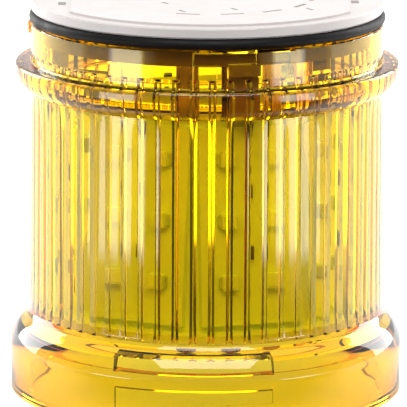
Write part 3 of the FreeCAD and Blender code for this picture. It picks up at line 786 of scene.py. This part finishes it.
def make_lights():
    side, back, height = REAR_LIGHT["side"], REAR_LIGHT["back"], REAR_LIGHT["height"]
    for name, x in (("rear_left", -side), ("rear_right", side)):
        softbox(name, (x, back, height), REAR_LIGHT["size"], REAR_LIGHT["power"])
    softbox("overhead", TOP_LIGHT["centre"], TOP_LIGHT["size"], TOP_LIGHT["power"])


def make_world():
    """White for the camera. Light from the world is bright behind and dim in front."""
    world = bpy.data.worlds.new("studio")
    world.use_nodes = True
    tree = world.node_tree
    nodes = tree.nodes
    background = nodes["Background"]
    background.inputs["Strength"].default_value = 1.0
    direction = nodes.new("ShaderNodeTexCoord")
    split = nodes.new("ShaderNodeSeparateXYZ")
    tree.links.new(direction.outputs["Generated"], split.inputs["Vector"])
    shade = nodes.new("ShaderNodeMapRange")
    shade.inputs["From Min"].default_value, shade.inputs["From Max"].default_value = WORLD_TURNS
    shade.inputs["To Min"].default_value = WORLD_FRONT
    shade.inputs["To Max"].default_value = WORLD_BACK
    tree.links.new(split.outputs["Y"], shade.inputs["Value"])
    path = nodes.new("ShaderNodeLightPath")
    seen = nodes.new("ShaderNodeMath")
    seen.operation = "MAXIMUM"
    tree.links.new(shade.outputs["Result"], seen.inputs[0])
    tree.links.new(path.outputs["Is Camera Ray"], seen.inputs[1])
    tree.links.new(seen.outputs["Value"], background.inputs["Color"])
    bpy.context.scene.world = world


def floor_glow(shader, place, behind):
    """How strongly the table glows for the lens: dimly under the module and behind it, more in
    wings at both sides and at the back, and most in a strip on each side of the front."""
    middle = shader.ramp(behind, 0.0, FLOOR_UNDER, 0.0, 1.0)
    aside = shader.calculate("ABSOLUTE", place.outputs["X"])
    reach = shader.node("ShaderNodeVectorMath", operation="LENGTH")
    shader.feed(reach.inputs[0], shader.position())
    beside = shader.calculate("MULTIPLY_ADD", place.outputs["Y"], WING_WEDGE, aside)
    wing = shader.ramp(beside, 0.0, WING_GLOW, *WING_SIDE)
    far = shader.ramp(reach.outputs["Value"], 0.0, 1.0, *WING_FAR)
    level = shader.ramp(place.outputs["Y"], 0.0, 1.0, *WING_LEVEL)
    wings = shader.calculate("MULTIPLY", wing, shader.calculate("MAXIMUM", far, level))
    front = shader.calculate("MULTIPLY", place.outputs["Y"], -1.0)
    heading = shader.calculate("ARCTAN2", aside, front)
    strips = shader.ramp(heading, 0.0, STRIP_GLOW, *STRIP_START)
    for share in (
        shader.ramp(heading, 1.0, 0.0, *STRIP_END),
        shader.ramp(reach.outputs["Value"], 0.0, 1.0, *STRIP_NEAR),
        shader.ramp(reach.outputs["Value"], 1.0, 0.0, *STRIP_FAR),
    ):
        strips = shader.calculate("MULTIPLY", strips, share)
    return shader.calculate("ADD", shader.calculate("ADD", middle, wings), strips)


def floor_material():
    """A pale table that looks white to the camera. What the lens shows of it is dark in front."""
    shader = Shader("floor")
    place = shader.node("ShaderNodeSeparateXYZ")
    shader.feed(place.inputs["Vector"], shader.position())
    path = shader.node("ShaderNodeLightPath")
    camera = path.outputs["Is Camera Ray"]
    behind = shader.ramp(place.outputs["Y"], 0.0, 1.0, *FLOOR_TURNS)
    pale = shader.blend(shader.noise(FLOOR_SPECKS), *FLOOR_PALE)
    shown = shader.calculate("MAXIMUM", behind, camera)
    seen = shader.ramp(camera, 0.0, FLOOR_GLOW, 0.0, 1.0)
    shader.set(
        Base_Color=shader.blend(shown, FLOOR_DARK, pale),
        Roughness=0.8,
        Specular_IOR_Level=0.1,
        Emission_Color=(1.0, 1.0, 1.0, 1.0),
        Emission_Strength=shader.calculate("MAXIMUM", floor_glow(shader, place, behind), seen),
    )
    return shader.material


def make_floor():
    mesh = bpy.data.meshes.new("floor")
    signs = ((-1, -1), (1, -1), (1, 1), (-1, 1))
    corners = [(x * FLOOR_HALF, y * FLOOR_HALF, FLOOR_DROP) for x, y in signs]
    mesh.from_pydata(corners, [], [(0, 1, 2, 3)])
    mesh.materials.append(floor_material())
    floor = bpy.data.objects.new("floor", mesh)
    bpy.context.scene.collection.objects.link(floor)


def make_camera():
    """The photo's camera, turned by pitch and roll from a level look along +Y."""
    data = bpy.data.cameras.new("camera")
    data.lens = CAMERA_LENS
    data.sensor_width = CAMERA_SENSOR
    data.clip_start = CAMERA_NEAR
    camera = bpy.data.objects.new("camera", data)
    pitch = math.radians(CAMERA_PITCH)
    roll = math.radians(CAMERA_ROLL)
    ahead = Vector((0.0, math.cos(pitch), -math.sin(pitch)))
    right = Vector((1.0, 0.0, 0.0))
    up = Vector((0.0, math.sin(pitch), math.cos(pitch)))
    across = right * math.cos(roll) + up * math.sin(roll)
    above = up * math.cos(roll) - right * math.sin(roll)
    turn = Matrix((across, above, -ahead)).transposed().to_4x4()
    place = Matrix.Translation((CAMERA_SIDE, -CAMERA_DISTANCE, CAMERA_HEIGHT))
    camera.matrix_world = place @ turn
    bpy.context.scene.collection.objects.link(camera)
    bpy.context.scene.camera = camera


make_camera()
make_world()
make_lights()
make_floor()
make_lens()
paint_insert()
bpy.context.scene.view_settings.view_transform = "Standard"
